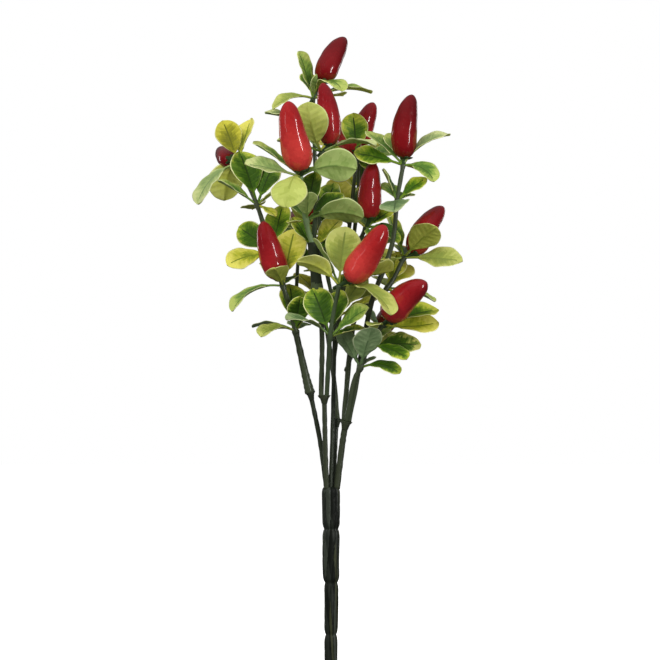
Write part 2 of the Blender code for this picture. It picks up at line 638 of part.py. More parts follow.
def main():
    for thing in list(bpy.data.objects):
        bpy.data.objects.remove(thing)
    plant = bpy.data.collections.new("chilli_pepper_plant")
    bpy.context.scene.collection.children.link(plant)
    stem = material(*STEM_GREEN)
    twig = material(*TWIG_GREEN)
    upper = material(*LEAF_GREEN)
    under = material(*LEAF_PALE)
    chilli = material(*CHILLI_RED)

    bundle((stem,), plant)
    grow_boughs((stem,), plant)
    masses = grow_stems(twig, chilli, plant)
    for name, leaf in grow_leaves():
        masses[name].append(from_bmesh(f"{name}_leaf", leaf_shape(leaf), (upper, under), plant))
    for name, pieces in masses.items():
        fuse(name, pieces, plant)


main()
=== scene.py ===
"""Looks of an artificial chilli pepper plant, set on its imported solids.

Lengths are millimetres and become metres where a mesh is made. +Z is up and -Y is the front.
Headings are degrees round +Z from +X, rises are degrees above the level. Leaves grow by the
same rule as the solids' leaves, and every shell below is worked out finer within their reach.
"""

import math
import random

import bpy
import numpy as np
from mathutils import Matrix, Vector
from mathutils.bvhtree import BVHTree


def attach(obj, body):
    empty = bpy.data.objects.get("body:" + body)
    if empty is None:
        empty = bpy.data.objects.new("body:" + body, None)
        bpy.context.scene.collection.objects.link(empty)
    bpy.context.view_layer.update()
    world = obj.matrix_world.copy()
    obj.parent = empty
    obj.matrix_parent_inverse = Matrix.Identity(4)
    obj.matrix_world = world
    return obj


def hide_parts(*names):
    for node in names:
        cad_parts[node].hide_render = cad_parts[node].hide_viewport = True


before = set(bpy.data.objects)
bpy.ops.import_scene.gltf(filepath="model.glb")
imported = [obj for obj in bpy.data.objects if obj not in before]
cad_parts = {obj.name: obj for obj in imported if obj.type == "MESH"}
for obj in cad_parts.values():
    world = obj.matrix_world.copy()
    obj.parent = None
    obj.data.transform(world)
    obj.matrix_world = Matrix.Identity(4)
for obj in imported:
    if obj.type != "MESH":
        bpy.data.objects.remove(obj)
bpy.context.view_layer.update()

MM = 0.001
GAP = 0.3  # air between neighbouring pieces
SEED = 11

# The bundle: four swellings, each given as its lower end, upper end and radius.
SWELLINGS = ((0.0, 32.2, 3.85), (32.2, 62.2, 4.15), (62.2, 93.4, 5.1), (93.4, 117.7, 5.35))
PINCH = 0.72  # radius between two swellings, as a share of their mean
TOP_PINCH = 0.78  # radius of the top's rim, as a share of the top swelling
FOOT_PINCH = 0.9  # radius at the flat cut, as a share of the lowest swelling
SHOULDER = 0.11  # height of a swelling's shoulder, as a share of the swelling
BUNDLE_TOP = SWELLINGS[-1][1]

# The stems.
BOUGH_FOOT = BUNDLE_TOP + GAP
BOUGH_TAPER = 0.94  # a bough's tip, as a share of its foot
SPAN_STEPS = 3  # straight pieces between two way-points of a stem
PEG_RADIUS = 1.25

# A collar: a flared ring at a bough's tip, with two barbs.
COLLAR_HEIGHT = 5.0

# A leaf: a narrow stalk, then a blade that is widest two thirds of the way out.
LEAF_ROWS = (0.0, 0.25, 0.46, 0.69, 0.90, 0.985)  # shares of its length
STALK_SHARE = 0.24
STALK_HALF_WIDTH = 0.65
LEAF_WIDTH = 0.60  # of its length
LEAF_THICK = 0.75
ROOT_REACH = 0.28  # share of a leaf, from its root, that may cross its own sprig's stems
TIP_POWER = 1.3
SIDE_POWER = 0.62

# How far each leaf strays from its stance, in degrees, and how far its edges may rise.
STRAY_HEADING = 4
STRAY_RISE = 3
STRAY_ROLL = 12
CUP = (0.05, 0.3)  # of its half width
ROOT_STRAY = 0.15  # how far its root strays from the whorl's middle, each way

# A chilli's outline: how full it is, its taper, and how late and how bluntly each end closes.
CHILLI_FULL = 1.06
CHILLI_TAPER, TAPER_POWER = 0.46, 1.5
BASE_HOLD, BASE_ROUND = 7, 0.52
TIP_HOLD, TIP_ROUND = 9, 0.55

# The rings of a chilli's skin and the sides of every skin that leaves keep off.
CHILLI_RINGS = 8
SKIN_SIDES = 8

# Finer measures that only the looks need.
SPAN_ROWS = 9  # rings between two way-points of a limb
LIMB_SIDES = 14
CHILLI_ROWS, CHILLI_COLUMNS = 40, 36
BUNDLE_ROWS, BUNDLE_SIDES, STRANDS = 150, 108, 9
CALYX_SIDES, BARB_SIDES, CUFF_SIDES = 20, 10, 24
VEIN_PAIRS = 6
VEIN_WIDE = 0.013  # share of a leaf's length
BLADE_THICK = 0.42
STALK_THICK = 1.15
TIP_CLOSE = 0.05  # share of a leaf over which its tip closes
SLANT = 0.12  # how far a vein runs forward on its way out, as a share of the leaf
PILLOW, GROOVE, RIDGE = 0.28, 0.3, 0.35  # blade between veins, midrib above and below
RIM_WAVE = 0.018  # of a leaf's length
OVERLAP = 1.2  # how far a limb's foot runs into what carries it
SHEEN_SHARE = 0.28  # share of a chilli, from its base, where its painted sheen is brightest

# How a leaf stands: the rise of its stalk, and how many degrees it bends down by its tip.
UP = (74, 8)
STEEP = (60, 12)
LEAN = (42, 14)
OUT = (22, 14)
FLAT = (4, 12)
DIP = (0, 34)
LOW = (-18, 28)
HANG = (-16, 60)
BOW = (32, 54)
CREST = (58, 56)
HOOK = (84, 150)
FOLD = (8, 96)
SAG = (26, 68)
ARCH = (38, 85)
DROOP = (13, 74)
CURL = (30, -45)
SCOOP = (-9, -22)

# Each bough: its radius, its collar's radius or none, then way-points from the foot up.
BOUGHS = {
    "bough_left": (1.35, 2.5, ((-2.9, 2.2, BOUGH_FOOT), (-6.4, 1, 145), (-12.2, -3, 173))),
    "bough_front": (1.5, 3.1, ((-2.6, -2.4, BOUGH_FOOT), (-3.4, -4, 145), (-4.0, -6, 171))),
    "bough_centre": (1.3, None, ((-0.2, 0.4, BOUGH_FOOT), (0.7, 1, 145), (2.0, 4, 203))),
    "bough_right": (1.75, 3.1, ((3.6, -0.8, BOUGH_FOOT), (6.5, -2, 143), (8.7, -3.5, 156))),
    "bough_rear": (1.3, 2.6, ((1.2, 3.4, BOUGH_FOOT), (2.4, 5.4, 140), (3.4, 8.5, 157))),
}

# Each sprig's stems, as foot and tip radius and way-points. The first starts above its bough.
STEMS = {
    "sprig_left": (
        (2.7, 1.5, (-12.6, -3.1, 173.6), (-15, -4.5, 184), (-20.5, -9, 208)),
        (1.5, 1.2, (-20.5, -9, 208), (-24.2, -13, 223), (-27.6, -17, 234), (-34.2, -3, 253),
         (-42.8, -6, 281), (-54.2, 8, 306)),
        (1.2, 1.0, (-20.5, -9, 208), (-20, 8, 236), (-18.2, 22, 267)),
    ),
    "sprig_front_left": (
        (1.5, 1.4, (-5.7, -6.2, 171.6), (-5.2, -12, 206), (-8, -18, 234)),
        (3.1, 3.4, (-8, -18, 233), (-10.3, -20, 259)),
        (1.6, 1.2, (-10.3, -20, 257), (-14.3, -25, 271), (-17.6, -36, 296)),
        (1.6, 1.2, (-10.3, -18, 257), (-8.9, -13, 275), (-8.6, -12, 290), (-5.2, -14, 311)),
    ),
    "sprig_front": (
        (1.4, 1.2, (-2.4, -6.6, 171.6), (-1.5, -16, 189), (-0.6, -26, 205), (1.7, -29, 220),
         (4.6, -32, 234)),
    ),
    "sprig_centre": (
        (1.25, 1.2, (2.0, 4, 203.4), (3.5, 6, 216), (11, 2, 248), (20.3, -2, 268)),
        (1.2, 1.1, (3.5, 6, 216), (-2, 9, 240), (-6, 8, 264), (-9, 6, 300), (-9.9, 5, 328),
         (-10.5, 2, 343)),
        (1.1, 1.1, (8, 4, 236), (10, 14, 262), (13, 20, 290), (15.2, 20, 309)),
    ),
    "sprig_right": (
        (1.65, 1.2, (10.4, -4.6, 157.2), (15.6, -9.5, 184), (19.6, -8, 207), (24.3, -6, 228),
         (32.4, -6, 249), (36.4, -7, 264), (38.1, -8, 283), (41.7, -4, 304)),
        (1.65, 1.3, (9.2, -5.2, 157.2), (13, -10.5, 178), (16.8, -13, 187), (21.9, -16, 200),
         (29.8, -20, 212)),
    ),
    "sprig_right_rear": (
        (1.6, 1.3, (7.6, -0.8, 157.2), (11, 2, 197), (15.7, 8, 219), (32.7, 10, 233), (42.6, 12, 251)),
        (1.2, 1.1, (9, 0.5, 186), (14, 14, 196), (31, 27, 208)),
    ),
    "sprig_rear": (
        (1.4, 1.1, (3.6, 9.4, 157.4), (1, 18, 186), (-5.3, 32, 226), (-11.3, 48, 262)),
        (1.2, 1.1, (1, 18, 186), (6, 34, 222), (12.5, 42, 256), (16, 45, 290), (16.5, 44, 313)),
    ),
}

# Each chilli: the number of its whorl, its base, its tip, its radius and its bow.
CHILLIES = (
    (1, (-29.2, -19, 238), (-39, -24, 271), 8.0, 1.0),
    (4, (-58.5, 13, 308), (-65, 46, 316), 6.3, 1.0),
    (5, (-18.4, 24.5, 269), (-20, 48, 279), 6.0, 1.0),
    (8, (-16.2, -38, 299), (-24.3, -48, 338), 9.1, 1.0),
    (9, (-1, -13, 315), (-5.0, -15, 351), 7.2, -1.5),
    (11, (9.8, -35, 236.5), (30.5, -46, 268), 9.0, -1.0),
    (14, (22.4, -3, 273), (24.5, -4, 306), 7.5, 1.2),
    (15, (15.2, 22, 313), (3, 40, 332), 6.6, 1.0),
    (18, (-4.9, 4, 353), (8.4, 12, 379.5), 7.4, 1.5),
    (24, (42.8, -3, 308), (47.2, -4, 345), 8.1, 2.2),
    (21, (32.7, -22, 214.5), (54.6, -36, 235.5), 9.2, 2.6),
    (26, (48, 12, 253), (66.2, 22, 281), 7.8, 2.4),
    (34, (-12, 50.5, 266), (-16.5, 68, 299), 7.6, 1.0),
    (33, (15.5, 46, 317), (25.5, 45, 344), 7.0, 1.0),
    (27, (31.5, 30, 210), (38, 60, 222), 6.6, 1.0),
)

# Each sprig's whorls: a place, then the leaves as heading, stance, length and maybe a roll.
WHORLS = {
    "sprig_left": (
        ((-20.5, -9, 208), (285, UP, 23, 165), (168, BOW, 27), (208, SAG, 26, -15), (115, UP, 29),
         (80, OUT, 24), (25, STEEP, 20)),
        ((-27.6, -17, 234), (193, DROOP, 36, -15), (246, LEAN, 23, 15), (55, UP, 35, 10),
         (120, LEAN, 26), (80, OUT, 24)),
        ((-34.2, -3, 253), (160, LEAN, 26, -60), (196, DIP, 28, -50), (60, UP, 31, 10), (100, OUT, 26)),
        ((-42.8, -6, 281), (146, UP, 34, -20), (42, UP, 28, 30), (10, STEEP, 13), (183, LEAN, 27),
         (98, FLAT, 26), (340, LOW, 14, 30)),
        ((-54.2, 8, 306), (166, UP, 27, -60), (60, UP, 30, -10), (193, HANG, 36, -12), (112, FOLD, 36),
         (75, OUT, 24)),
        ((-18.2, 22, 267), (290, UP, 24), (80, OUT, 29), (135, FLAT, 28), (30, LEAN, 27),
         (190, FLAT, 22, -30)),
    ),
    "sprig_front_left": (
        ((-10.3, -20, 254), (35, STEEP, 26, 20), (352, LEAN, 22, 30), (150, STEEP, 24, -20)),
        ((-14.3, -25, 271), (275, UP, 21, 20), (22, LEAN, 28, 30), (350, BOW, 35, -40), (200, FLAT, 12),
         (120, LEAN, 26), (62, UP, 30)),
        ((-17.6, -36, 296), (256, FOLD, 35, 170), (172, LEAN, 34, -10), (190, OUT, 33, -30),
         (350, BOW, 34, -65), (85, OUT, 27)),
        ((-5.2, -14, 311), (247, CURL, 35), (352, BOW, 33, 10), (182, OUT, 27, -20), (105, LEAN, 30)),
    ),
    "sprig_front": (
        ((-0.6, -26, 205), (146, UP, 30, -50), (60, UP, 29), (350, LEAN, 28, 30), (206, CREST, 31),
         (25, OUT, 22)),
        ((4.6, -32, 234), (202, CREST, 30, 22), (183, STEEP, 31), (62, UP, 35, 25), (22, OUT, 38, -30),
         (335, DROOP, 40, 10)),
    ),
    "sprig_centre": (
        ((3.5, 6, 216), (22, STEEP, 31, 30), (150, LEAN, 26, -20), (90, OUT, 28), (345, OUT, 26, 30)),
        ((-6, 8, 264), (60, UP, 33), (120, STEEP, 30), (345, STEEP, 27, 50), (200, OUT, 24, -30)),
        ((20.3, -2, 268), (350, DROOP, 23, 40), (20, LEAN, 20, 30), (195, LEAN, 22, -30), (285, LOW, 13),
         (100, OUT, 25)),
        ((15.2, 20, 309), (115, UP, 28, -20), (12, OUT, 28, 20), (60, OUT, 26), (190, OUT, 22, -30)),
        ((10.8, 16.5, 270), (160, UP, 31, -20), (50, UP, 29), (100, OUT, 27), (205, LEAN, 24, -40)),
        ((-9.9, 5, 328), (186, OUT, 30), (62, LEAN, 26), (100, OUT, 27)),
        ((-10.5, 2, 343), (199, UP, 29, -56), (290, UP, 15, 50), (324, HOOK, 29), (0, BOW, 37, 10),
         (182, DROOP, 26, -25), (95, LEAN, 26), (45, OUT, 26)),
    ),
    "sprig_right": (
        ((16.8, -13, 187), (285, STEEP, 29), (350, SAG, 25, 20), (195, UP, 25, 40), (90, OUT, 22)),
        ((21.9, -16, 200), (12, FLAT, 31, 45), (345, DIP, 26, 25), (205, LEAN, 21), (80, LEAN, 24)),
        ((29.8, -20, 212), (24, OUT, 36, 20), (20, SCOOP, 34, 24), (60, OUT, 28), (130, LEAN, 26),
         (240, FLAT, 16)),
        ((32.4, -6, 249), (100, OUT, 26), (168, OUT, 24, -30), (250, FLAT, 18)),
        ((38.1, -8, 283), (20, LEAN, 23, 30), (160, STEEP, 21), (118, LEAN, 20), (268, DIP, 30, 12),
         (72, OUT, 24)),
        ((41.7, -4, 304), (190, OUT, 30, -38), (160, LEAN, 31), (115, STEEP, 28), (8, CREST, 35, 10),
         (330, DROOP, 24, 35), (60, FLAT, 24)),
    ),
    "sprig_right_rear": (
        ((32.7, 10, 233), (62, STEEP, 27, 30), (50, LEAN, 26, 30), (352, DIP, 30, 10), (100, OUT, 26),
         (315, LOW, 20, 20)),
        ((42.6, 12, 251), (160, UP, 28, -12), (318, LEAN, 31, -50), (350, FLAT, 35, 46),
         (215, FLAT, 20, 20), (85, OUT, 29)),
        ((31, 27, 208), (15, OUT, 29, 30), (75, DROOP, 29), (140, LEAN, 27), (330, LEAN, 24, 30)),
    ),
    "sprig_rear": (
        ((-5.3, 32, 226), (60, OUT, 28), (130, LEAN, 28), (200, OUT, 27, -30), (280, FLAT, 22)),
        ((6.3, 34.6, 224), (350, OUT, 27), (65, LEAN, 28), (130, OUT, 25), (230, FLAT, 20)),
        ((-8.5, 40, 244), (75, UP, 28), (150, STEEP, 27), (345, STEEP, 26, 30), (265, FLAT, 20)),
        ((16, 45, 289), (60, UP, 27), (125, STEEP, 27), (205, LEAN, 24, -20)),
        ((12.5, 42, 256), (20, OUT, 30, 30), (85, ARCH, 31), (150, LEAN, 28), (330, LEAN, 24, 30)),
        ((16.5, 44, 313), (30, OUT, 28, 20), (100, OUT, 29), (175, OUT, 27, -20), (290, LOW, 20)),
        ((-11.3, 48, 262), (45, OUT, 28), (110, FLAT, 30), (180, OUT, 29, -30), (235, LEAN, 25),
         (320, FLAT, 20, 20)),
    ),
}

# Every whorl in order, as its sprig, its place and its leaves.
WHORL_LIST = [(sprig, *whorl) for sprig, whorls in WHORLS.items() for whorl in whorls]

# Turns and tilts that a leaf tries, in order, until it stands clear of its neighbours.
NUDGES = ((0, 0), (9, 0), (-9, 0), (0, -9), (0, 9), (12, -10), (-12, -10), (18, 0), (-18, 0),
          (0, -20), (14, 12), (-14, 12), (27, -6), (-27, -6), (0, -32), (38, 0), (-38, 0))


def fine_path(points, rows=SPAN_ROWS):
    """The Catmull-Rom curve through the way-points, with so many rows between two of them."""
    given = np.array(points, float)
    ends = np.concatenate(([2 * given[0] - given[1]], given, [2 * given[-1] - given[-2]]))
    t = (np.arange(rows) / rows)[None, :, None]
    before, start, end, after = (ends[k:len(ends) - 3 + k, None] for k in range(4))
    curve = 0.5 * (2 * start + (end - before) * t
                   + (2 * before - 5 * start + 4 * end - after) * t ** 2
                   + (3 * start - before - 3 * end + after) * t ** 3)
    return np.concatenate((curve.reshape(-1, 3), given[-1:]))


def half_width(t, length):
    """A leaf's half widths at shares t of its length: a stalk, then a spoon-shaped blade.

    The swell is a sine of the share past the stalk, bent towards the tip by TIP_POWER and
    squared off by SIDE_POWER.
    """
    out = np.clip((t - STALK_SHARE) / (1 - STALK_SHARE), 0, 1)
    swell = np.clip(np.sin(np.pi * out ** TIP_POWER), 0, 1) ** SIDE_POWER
    return STALK_HALF_WIDTH + (LEAF_WIDTH * length / 2 - STALK_HALF_WIDTH) * swell


def midrib(leaf, t):
    """A leaf's midrib points at shares t, with the directions across and out of its face.

    The midrib is an arc whose rise falls evenly by the stance's bend, so its reach is the
    length over the bend times the difference of the rises' sines, and its height that of
    their cosines. Both directions are rolled round the midrib.
    """
    root, heading, rise, bend, length, roll, _ = leaf
    start, turned, tilt = math.radians(rise), math.radians(bend), math.radians(roll)
    now = (start - turned * t)[..., None]
    along = length * (math.sin(start) - np.sin(now)) / turned
    up = length * (np.cos(now) - math.cos(start)) / turned
    ahead = np.array((math.cos(math.radians(heading)), math.sin(math.radians(heading)), 0))
    across = np.array((-ahead[1], ahead[0], 0))
    top = np.array((0, 0, 1.0))
    face = top * np.cos(now) - ahead * np.sin(now)
    return (np.array(root) + ahead * along + top * up,
            across * math.cos(tilt) + face * math.sin(tilt),
            face * math.cos(tilt) - across * math.sin(tilt))


def chilli_radius(t, radius):
    """A chilli's radii at shares t from base to tip: full near the base, blunt at the tip."""
    base = (1 - (1 - t) ** BASE_HOLD) ** BASE_ROUND
    taper = 1 - CHILLI_TAPER * t ** TAPER_POWER
    return CHILLI_FULL * radius * base * taper * np.clip(1 - t ** TIP_HOLD, 0, 1) ** TIP_ROUND


def chilli_axis(chilli, t):
    """Points of a chilli's axis at shares t from its base, bowed sideways by a half sine."""
    base, tip, _, bow = chilli
    axis = np.array(tip, float) - np.array(base, float)
    sideways = unit(np.cross(axis, (0, 1, 0)))
    t = t[:, None]
    return np.array(base) + axis * t + sideways * bow * np.sin(np.pi * t)


def ring_tree(spots, radii):
    """A search tree of a limb's skin: rings round its spots, joined by four-sided faces."""
    points, faces = [], []
    for number, (spot, radius) in enumerate(zip(spots, radii)):
        before, after = spots[max(number - 1, 0)], spots[min(number + 1, len(spots) - 1)]
        turn = (after - before).to_track_quat("Z", "Y")
        for side in range(SKIN_SIDES):
            angle = 2 * math.pi * side / SKIN_SIDES
            points.append(spot + turn @ Vector((math.cos(angle), math.sin(angle), 0)) * radius)
            if number:
                here, last = len(points) - 1, len(points) - 1 - SKIN_SIDES
                back = SKIN_SIDES - 1 if side == 0 else -1
                faces.append((last, here, here + back, last + back))
    return BVHTree.FromPolygons(points, faces)


def leaf_trees(leaf, place, reach):
    """Search trees of a leaf's two sheets, half a gap proud: whole, and beyond the reach."""
    rows = np.array(LEAF_ROWS)
    spine, across, face = (part[:, None] for part in midrib(leaf, rows))
    wide = half_width(rows, leaf[4])[:, None, None]
    side = np.array((-1, 0, 1))[:, None]
    middle = spine + across * (wide * side) + face * (leaf[6] * wide * side ** 2)
    proud = LEAF_THICK / 2 + GAP
    points = np.stack((middle + face * proud, middle - face * proud)).reshape(-1, 3)
    sheets = np.arange(len(points)).reshape(2, len(rows), 3)
    faces = np.concatenate([grid_faces(number) for number in sheets])
    far = np.linalg.norm(points - np.array(place), axis=1) > reach
    outer = faces[far[faces].all(axis=1)]
    points = points.tolist()
    return (BVHTree.FromPolygons(points, faces.tolist()),
            BVHTree.FromPolygons(points, outer.tolist()))


def skins_of_limbs():
    """The skins of every bough, collar, stem, peg and chilli, each with its owner's name."""
    skins = []
    for name, (radius, flare, points) in BOUGHS.items():
        spots = [Vector(spot) for spot in fine_path(points, SPAN_STEPS)]
        skins.append((name, ring_tree(spots, [radius] * len(spots))))
        if flare:
            axis = (spots[-1] - spots[-2]).normalized() * COLLAR_HEIGHT
            skins.append((name, ring_tree([spots[-1] - axis, spots[-1]], [radius, flare])))
    for name, stems in STEMS.items():
        for foot, tip, *points in stems:
            spots = [Vector(spot) for spot in fine_path(points, SPAN_STEPS)]
            skins.append((name, ring_tree(spots, [max(foot, tip)] * len(spots))))
    for whorl, *chilli in CHILLIES:
        name, root = WHORL_LIST[whorl][:2]
        t = np.linspace(0, 1, CHILLI_RINGS + 1)
        spots = [Vector(spot) for spot in chilli_axis(chilli, t)]
        skins.append((name, ring_tree(spots, chilli_radius(t, chilli[2]))))
        skins.append((name, ring_tree([Vector(root), spots[0]], [PEG_RADIUS] * 2)))
    return skins


def grow_leaves():
    """Every leaf that finds a clear stance, as its sprig, its stance, and its whorl and turn.

    A leaf is clear where its faces cross nothing but, near its root, its own sprig.
    """
    skins = skins_of_limbs()
    grown = []
    for number, (sprig, place, *leaves) in enumerate(WHORL_LIST):
        for turn, (heading, (rise, bend), length, *roll) in enumerate(leaves):
            draw = random.Random(SEED + 100 * number + turn)
            heading += draw.uniform(-STRAY_HEADING, STRAY_HEADING)
            rise += draw.uniform(-STRAY_RISE, STRAY_RISE)
            roll = sum(roll) + draw.uniform(-STRAY_ROLL, STRAY_ROLL)
            cup = draw.uniform(*CUP)
            stray = [draw.uniform(-ROOT_STRAY, ROOT_STRAY) for _ in range(3)]
            root = Vector(place) + Vector(stray)
            for more_turn, more_rise in NUDGES:
                leaf = (root, heading + more_turn, rise + more_rise, bend, length, roll, cup)
                whole, outer = leaf_trees(leaf, place, ROOT_REACH * length)
                if not any((outer if owner == sprig else whole).overlap(skin)
                           for owner, skin in skins):
                    skins.append((sprig, whole))
                    grown.append((sprig, leaf, number, turn))
                    break
    return grown


def shade(red, green, blue):
    """A paint's screen values, 0 to 255, as the shader's linear ones."""
    part = np.array((red, green, blue)) / 255
    return tuple(np.where(part <= 0.04045, part / 12.92, ((part + 0.055) / 1.055) ** 2.4))


def shader_node(tree, kind, settings=None):
    """A new shader node, with inputs set by name or number."""
    made = tree.nodes.new("ShaderNode" + kind)
    tune(made, settings or {})
    return made


def tune(node, settings):
    """Sets a node's inputs, each by its name or number."""
    for name, value in settings.items():
        node.inputs[name].default_value = value


def wire(tree, *links):
    """Joins nodes: each link is a node and its output, then a node and its input."""
    for start, leaves, end, enters in links:
        tree.links.new(start.outputs[leaves], end.inputs[enters])


def moulded(name, paint, low, high, grain, relief, gloss=0.5, coat=0.0, coat_rough=0.03):
    """Moulded plastic: plain paint, with roughness and fine relief from a grain of noise."""
    colour = (*shade(*paint), 1)
    made = bpy.data.materials.new(name)
    made.use_nodes = True
    tree = made.node_tree
    skin = tree.nodes["Principled BSDF"]
    tune(skin, {"Base Color": colour, "Specular IOR Level": gloss, "Coat Weight": coat,
                "Coat Roughness": coat_rough})
    place = shader_node(tree, "TexCoord")
    noise = shader_node(tree, "TexNoise", {"Scale": 1 / (grain * MM), "Detail": 3})
    spread = shader_node(tree, "MapRange", {"From Min": 0.3, "From Max": 0.7, "To Min": low,
                                            "To Max": high})
    bump = shader_node(tree, "Bump", {"Strength": 0.6, "Distance": relief * MM})
    wire(tree, (place, "Object", noise, "Vector"), (noise, "Fac", spread, "Value"),
         (spread, "Result", skin, "Roughness"), (noise, "Fac", bump, "Height"),
         (bump, "Normal", skin, "Normal"))
    made.diffuse_color = colour
    return made


# The paints of a leaf. Upper sides: midrib, heart, middle, margin, rim. Undersides: vein,
# low blade, high blade, rim.
UPPER_PAINTS = {
    "deep": ((46, 70, 18), (56, 90, 16), (98, 132, 30), (182, 192, 66), (230, 232, 164)),
    "vivid": ((56, 82, 22), (68, 108, 20), (130, 160, 36), (200, 206, 72), (232, 232, 160)),
    "fresh": ((76, 104, 42), (84, 122, 46), (132, 162, 66), (182, 196, 98), (224, 228, 164)),
    "yellow": ((124, 138, 36), (134, 150, 36), (192, 194, 58), (224, 218, 98), (238, 236, 166)),
    "grey": ((82, 106, 66), (94, 122, 76), (120, 148, 96), (154, 172, 118), (200, 210, 160)),
    "pale": ((118, 140, 88), (134, 158, 92), (164, 182, 110), (200, 208, 138), (228, 232, 176)),
    "mellow": ((132, 148, 64), (142, 158, 68), (164, 176, 78), (196, 202, 108), (222, 226, 150)),
    "mustard": ((104, 108, 26), (124, 126, 28), (162, 160, 36), (204, 198, 66), (232, 230, 150)),
    "tipped": ((38, 60, 20), (46, 74, 18), (72, 106, 28), (208, 208, 112), (234, 234, 172)),
}
UPPER_STEPS = 7
UNDER_PAINTS = {
    "olive": ((134, 146, 54), (154, 162, 64), (180, 186, 84), (210, 212, 134)),
    "lime": ((152, 164, 72), (168, 180, 84), (188, 198, 104), (212, 216, 144)),
    "gold": ((166, 168, 56), (196, 194, 64), (216, 212, 88), (232, 230, 150)),
    "sage": ((112, 138, 68), (132, 156, 80), (160, 180, 104), (200, 210, 148)),
    "dusk": ((94, 118, 76), (108, 134, 88), (136, 158, 112), (188, 200, 154)),
    # bright: a lighter copy of the lime and gold undersides, painted light on undersides.
    "bright": ((192, 198, 78), (208, 212, 92), (222, 226, 118), (234, 236, 160)),
}
UNDER_STEPS = 3
BLUSH = (206, 120, 60)

# How far each upper palette is turned from its heart to its margin.
RIPENESS = {"deep": -0.2, "vivid": 0.02, "fresh": 0.1, "yellow": 0.3, "grey": 0.05, "pale": 0.1,
            "mellow": 0.1, "mustard": 0.15, "tipped": 0.06}


def blend_of(stops, steps):
    """Evenly spaced mixes along a row of paints."""
    stops = np.array(stops, float)
    place = np.linspace(0, len(stops) - 1, steps)
    return np.stack([np.interp(place, range(len(stops)), stops[:, k]) for k in range(3)], axis=1)


def leaf_finishes():
    """Every paint of a leaf as a finish, and where each palette starts among them."""
    made, start = [], {}
    for side, name, palettes, steps, feel in (
            ("upper", "leaf", UPPER_PAINTS, UPPER_STEPS, (0.38, 0.54, 0.9, 0.05, 0.35)),
            ("under", "underside", UNDER_PAINTS, UNDER_STEPS, (0.5, 0.68, 0.7, 0.06, 0.3))):
        for palette, (vein, *blade, rim) in palettes.items():
            start[side, palette] = len(made)
            paints = [vein, *blend_of(blade, steps), rim]
            made += [moulded(f"{name} {palette} {number}", paint, *feel)
                     for number, paint in enumerate(paints)]
    start["blush"] = len(made)
    made.append(moulded("leaf blush", BLUSH, 0.36, 0.5, 0.9, 0.05))
    return made, start


def stand(name, data):
    """A new object in the scene."""
    made = bpy.data.objects.new(name, data)
    bpy.context.scene.collection.objects.link(made)
    return made


class Shells:
    """Closed shells gathered into one piece: points, four- and three-cornered faces, zones."""

    def __init__(self):
        self.points, self.fours, self.threes = [], [], [np.zeros((0, 3), int)]
        self.four_zones, self.three_zones = [], []
        self.count = 0

    def add(self, points, fours, four_zones, threes=None, three_zone=0):
        """One more shell. The zones say which finish each face takes."""
        self.points.append(points)
        self.fours.append(fours + self.count)
        self.four_zones.append(np.broadcast_to(four_zones, len(fours)))
        if threes is not None:
            self.threes.append(threes + self.count)
            self.three_zones.append(np.full(len(threes), three_zone))
        self.count += len(points)

    def piece(self, name, finishes, nodes, slot):
        """The shells as one smooth mesh that stands in for some of the solids."""
        fours = np.concatenate(self.fours)
        threes = np.concatenate(self.threes)
        zones = np.concatenate(self.four_zones + self.three_zones)
        mesh = bpy.data.meshes.new(name)
        mesh.from_pydata(np.concatenate(self.points) * MM, [], fours.tolist() + threes.tolist())
        mesh.polygons.foreach_set("material_index", zones.astype(np.int32))
        for finish in finishes:
            mesh.materials.append(finish)
        mesh.shade_smooth()
        mesh.update()
        made = stand(name, mesh)
        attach(made, "root")
        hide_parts(*nodes)


def unit(arrows):
    """Arrows at unit length."""
    return arrows / np.linalg.norm(arrows, axis=-1, keepdims=True)


def ring_angles(sides):
    """Even angles round a ring."""
    return 2 * np.pi * np.arange(sides) / sides


def ring_faces(rows, sides):
    """Four-cornered faces of a grid of rings that closes on itself sideways."""
    row, side = np.meshgrid(np.arange(rows - 1), np.arange(sides), indexing="ij")
    here, beside = row * sides + side, row * sides + (side + 1) % sides
    return np.stack((here, beside, beside + sides, here + sides), axis=-1).reshape(-1, 4)


def fan_faces(ring, centre, outwards):
    """Three-cornered faces from a ring of points to a centre."""
    after = np.roll(ring, -1)
    pair = (ring, after) if outwards else (after, ring)
    return np.stack((*pair, np.full(len(ring), centre)), axis=-1)


def directions(path):
    """Along a path: its unit tangents, and +X and +Y made square to them."""
    ahead = unit(np.gradient(path, axis=0))
    right = unit(np.array((1.0, 0, 0)) - ahead * ahead[:, :1])
    return ahead, right, np.cross(ahead, right)


def add_limb(shells, path, radius, zones, end_zone=None):
    """A limb: ring k is path point k plus radius[k, j] in direction j round the path.

    The ring's directions are cosine times the first square direction plus sine times the
    second. A fan to the path's first and last point closes each end. Where the path has two
    points more than there are rings, they are poles beyond the rings.
    """
    rows, sides = radius.shape
    angle = ring_angles(sides)
    _, right, back = directions(path)
    carry = slice(1, -1) if len(path) > rows else slice(None)
    out = np.cos(angle)[:, None] * right[carry, None] + np.sin(angle)[:, None] * back[carry, None]
    rings = path[carry, None] + radius[:, :, None] * out
    points = np.concatenate((rings.reshape(-1, 3), path[:1], path[-1:]))
    count = rows * sides
    fans = np.concatenate((fan_faces(np.arange(sides), count, False),
                           fan_faces(np.arange(count - sides, count), count + 1, True)))
    shells.add(points, ring_faces(rows, sides), zones, fans,
               zones if end_zone is None else end_zone)


def lengthened(path, foot, tip):
    """A path with a straight piece more at each end."""
    return np.concatenate(([path[0] + foot * unit(path[0] - path[1])], path,
                           [path[-1] + tip * unit(path[-1] - path[-2])]))


